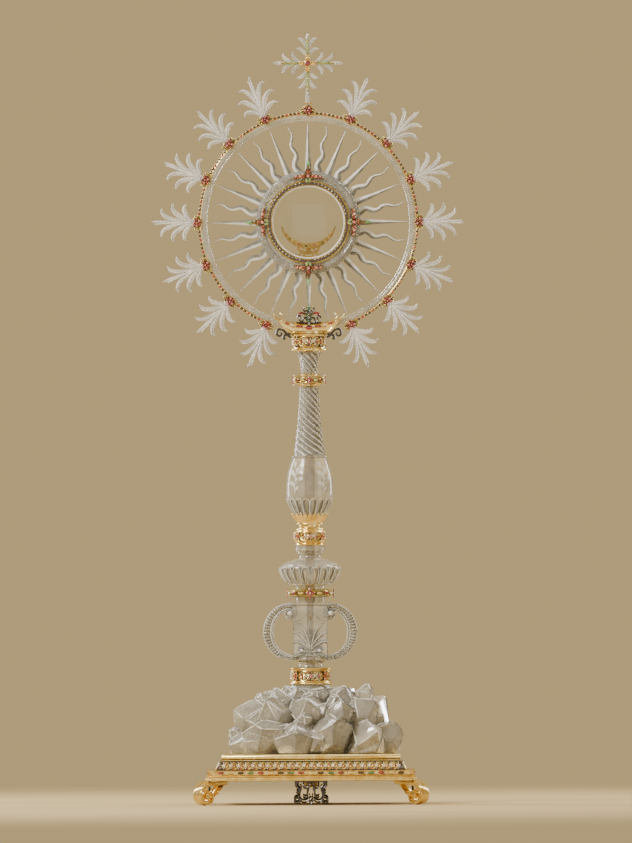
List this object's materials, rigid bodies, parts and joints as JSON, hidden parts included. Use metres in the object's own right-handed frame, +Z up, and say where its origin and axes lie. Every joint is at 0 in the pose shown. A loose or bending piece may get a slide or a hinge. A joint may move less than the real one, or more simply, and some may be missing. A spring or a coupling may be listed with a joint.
{
  "type": "monstrance",
  "caption": "Standing rock crystal monstrance: rayed glory with a glazed, rear-opening host case, on a carved crystal stem, rockwork mound and footed gilt plinth.",
  "frame": {"origin": "on the floor, on the stem's axis, under the middle of the plinth", "axes": "+Z up along the stem, front towards -Y, +X to the right as seen from the front"},
  "size_m": [0.38, 0.2832, 0.925],
  "materials": {
    "gilt": "polished",
    "jewelled_gilt": "satin",
    "plain_brass": "satin",
    "black_enamel": "gloss",
    "rock_crystal": "polished",
    "pane_glass": "polished",
    "red_stone": "polished",
    "green_stone": "polished",
    "dark_stone": "polished",
    "pearl": "gloss"
  },
  "bodies": {
    "stand": {"plinth_lower_moulding": "gilt", "plinth_upper_moulding": "gilt", "calyx_cup": "gilt", "cradle": "gilt", "case_shell": "gilt", "foot_front_left": "gilt", "foot_front_right": "gilt", "foot_rear_left": "gilt", "foot_rear_right": "gilt", "plinth_jewel_band": "jewelled_gilt", "plinth_foliate_band": "jewelled_gilt", "mound_collar": "jewelled_gilt", "jewelled_ring": "jewelled_gilt", "jewelled_knop": "jewelled_gilt", "stem_bracelet": "jewelled_gilt", "capital": "jewelled_gilt", "cradle_crest": "jewelled_gilt", "jewelled_rim": "jewelled_gilt", "jewelled_bezel": "jewelled_gilt", "top_cross": "jewelled_gilt", "pendant_front": "black_enamel", "pendant_right": "black_enamel", "pendant_rear": "black_enamel", "pendant_left": "black_enamel", "crystal_mound": "rock_crystal", "scroll_knop_block": "rock_crystal", "scroll_left": "rock_crystal", "scroll_right": "rock_crystal", "gadrooned_knop": "rock_crystal", "crystal_vase": "rock_crystal", "twisted_column": "rock_crystal", "column_neck": "rock_crystal", "glory_ring": "rock_crystal", "straight_rays": "rock_crystal", "wavy_rays": "rock_crystal", "window_moulding": "rock_crystal", "leaf_spray_left_1": "rock_crystal", "leaf_spray_left_2": "rock_crystal", "leaf_spray_left_3": "rock_crystal", "leaf_spray_left_4": "rock_crystal", "leaf_spray_left_5": "rock_crystal", "leaf_spray_left_6": "rock_crystal", "leaf_spray_left_7": "rock_crystal", "leaf_spray_right_1": "rock_crystal", "leaf_spray_right_2": "rock_crystal", "leaf_spray_right_3": "rock_crystal", "leaf_spray_right_4": "rock_crystal", "leaf_spray_right_5": "rock_crystal", "leaf_spray_right_6": "rock_crystal", "leaf_spray_right_7": "rock_crystal", "front_glass": "pane_glass", "plinth_base_plate": "plain_brass", "tie_rod": "plain_brass", "rod_nut": "plain_brass", "hinge_pin": "plain_brass"},
    "rear_door": {"rear_door_frame": "gilt", "rear_glass": "pane_glass"},
    "turn_button": {"turn_button": "gilt"},
    "lunula": {"lunula_front": "jewelled_gilt"},
    "lunula_clip": {"lunula_clip": "gilt"}
  },
  "joints": [
    {"name": "rear_door_hinge", "type": "hinge", "parent": "stand", "child": "rear_door", "pos_m": [-0.056, 0.0182, 0.698], "axis": [0, 0, 1], "range_deg": [0, 120]},
    {"name": "turn_button_pivot", "type": "hinge", "parent": "stand", "child": "turn_button", "pos_m": [0.056, 0.0205, 0.698], "axis": [0, 1, 0], "range_deg": [0, 90]},
    {"name": "lunula_slide", "type": "slide", "parent": "stand", "child": "lunula", "axis": [0, 1, 0], "range_m": [0, 0.008]},
    {"name": "lunula_clip_hinge", "type": "hinge", "parent": "lunula", "child": "lunula_clip", "pos_m": [0, -0.0009, 0.6634], "axis": [-1, 0, 0], "range_deg": [0, 15]}
  ]
}
